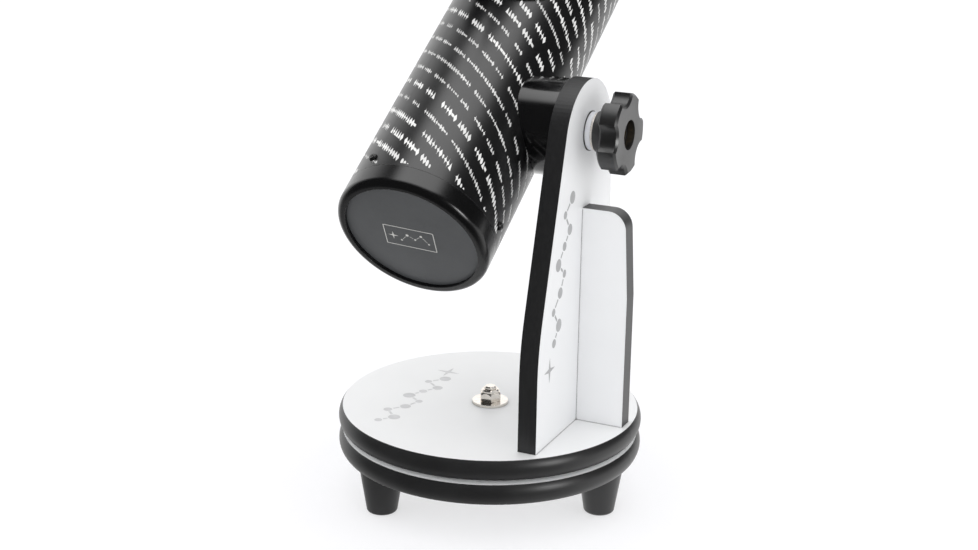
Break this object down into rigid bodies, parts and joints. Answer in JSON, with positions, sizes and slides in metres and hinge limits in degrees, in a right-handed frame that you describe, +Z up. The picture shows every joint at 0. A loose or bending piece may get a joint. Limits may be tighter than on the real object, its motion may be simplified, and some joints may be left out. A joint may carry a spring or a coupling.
{
  "type": "tabletop dobsonian telescope",
  "caption": "Short reflecting telescope tube on a single-arm tabletop rocker base that turns in azimuth and altitude, with a rack focuser and a friction clutch knob.",
  "frame": {"origin": "on the floor, at the centre of the rest pose's bounding box; the azimuth axis is at x = 0, y = -30.3 mm", "axes": "+Z up, +X from the tube towards the arm and the clutch knob, +Y towards the tube's open front end"},
  "size_m": [0.203, 0.2796, 0.4213],
  "materials": {
    "laminate": "white melamine laminate, satin",
    "panel_laminate": "white melamine laminate, satin",
    "rim_plastic": "black satin extruded edging",
    "arm_band": "black edge tape",
    "brace_band": "dark grey brushed edge tape",
    "foot_plastic": "black moulded",
    "zinc_steel": "zinc plated",
    "plated_steel": "bright nickel plate",
    "white_nylon": "natural white",
    "black_screws": "black oxide",
    "tube_paint": "black satin paint with a white printed pattern",
    "black_plastic": "black moulded, satin",
    "spider_paint": "flat black paint",
    "panel_plastic": "dark grey, fine grain",
    "mirror_coat": "aluminised",
    "felt_pad": "black felt",
    "hub_plastic": "glossy black",
    "knob_plastic": "black satin",
    "brass_insert": "machined",
    "lens_glass": "coated",
    "soft_rubber": "matte"
  },
  "bodies": {
    "ground": {"ground_board": "laminate", "ground_rim": "rim_plastic", "feet": "foot_plastic", "foot_screws": "zinc_steel", "glide_pads": "white_nylon", "azimuth_bolt": "plated_steel", "azimuth_washer": "plated_steel", "azimuth_nut": "plated_steel"},
    "rocker": {"rocker_board": "laminate", "rocker_rim": "rim_plastic", "azimuth_bush": "white_nylon", "arm_panel": "panel_laminate", "arm_edge_band": "arm_band", "brace_panel": "panel_laminate", "brace_edge_band": "brace_band", "panel_screws": "zinc_steel", "brace_screws": "black_screws", "altitude_bush": "white_nylon"},
    "optical_tube": {"tube": "tube_paint", "rear_cell": "black_plastic", "rear_panel": "panel_plastic", "rear_cell_screws": "black_screws", "primary_mirror": "mirror_coat", "mirror_pads": "felt_pad", "mirror_clips": "black_plastic", "clip_screws": "zinc_steel", "front_ring": "black_plastic", "front_ring_screws": "black_screws", "spider": "spider_paint", "spider_screws": "black_screws", "secondary_holder": "black_plastic", "secondary_mirror": "mirror_coat", "collimation_screws": "zinc_steel", "saddle": "hub_plastic", "saddle_screws": "zinc_steel", "altitude_stud": "zinc_steel", "friction_disc": "white_nylon", "rubber_washer": "soft_rubber", "nylon_washer": "white_nylon", "steel_washer": "plated_steel", "focuser_base": "black_plastic", "focuser_screws": "zinc_steel", "pinion_cover": "black_plastic", "pinion_cover_screws": "zinc_steel"},
    "clutch": {"clutch_knob": "knob_plastic", "knob_insert": "brass_insert"},
    "focus_drive": {"pinion_shaft": "zinc_steel", "focus_knobs": "knob_plastic"},
    "focus_tube": {"drawtube": "black_plastic", "drawtube_rack": "white_nylon"},
    "eyepiece": {"eyepiece_barrel": "plated_steel", "field_lens": "lens_glass", "eyepiece_body": "black_plastic", "eye_lens": "lens_glass", "eyecup": "soft_rubber"},
    "holding_screw": {"thumbscrew": "plated_steel"}
  },
  "joints": [
    {"name": "azimuth_turn", "type": "hinge", "parent": "ground", "child": "rocker", "pos_m": [0, -0.03034, 0.06], "axis": [0, 0, 1], "continuous": true},
    {"name": "altitude_turn", "type": "hinge", "parent": "rocker", "child": "optical_tube", "pos_m": [0, -0.02314, 0.252], "axis": [1, 0, 0], "continuous": true},
    {"name": "clutch_turn", "type": "hinge", "parent": "optical_tube", "child": "clutch", "pos_m": [0, -0.02314, 0.252], "axis": [1, 0, 0], "range_deg": [-30, 360]},
    {"name": "focus_travel", "type": "slide", "parent": "optical_tube", "child": "focus_tube", "axis": [0, 0.5446, -0.8387], "range_m": [-0.01, 0.006]},
    {"name": "focus_turn", "type": "hinge", "parent": "optical_tube", "child": "focus_drive", "pos_m": [-0.042, 0.02201, 0.36717], "axis": [0, 0.8387, 0.5446], "range_deg": [-121, 73]},
    {"name": "eyepiece_insert", "type": "slide", "parent": "focus_tube", "child": "eyepiece", "axis": [0, 0.5446, -0.8387], "range_m": [-0.03, 0]},
    {"name": "thumbscrew_turn", "type": "hinge", "parent": "focus_tube", "child": "holding_screw", "pos_m": [-0.017, -0.00974, 0.37935], "axis": [0, -0.8387, -0.5446], "range_deg": [-30, 360]}
  ],
  "couplings": [
    {"joint": "focus_turn", "follows": "focus_travel", "rad_per_m": 208.33}
  ]
}
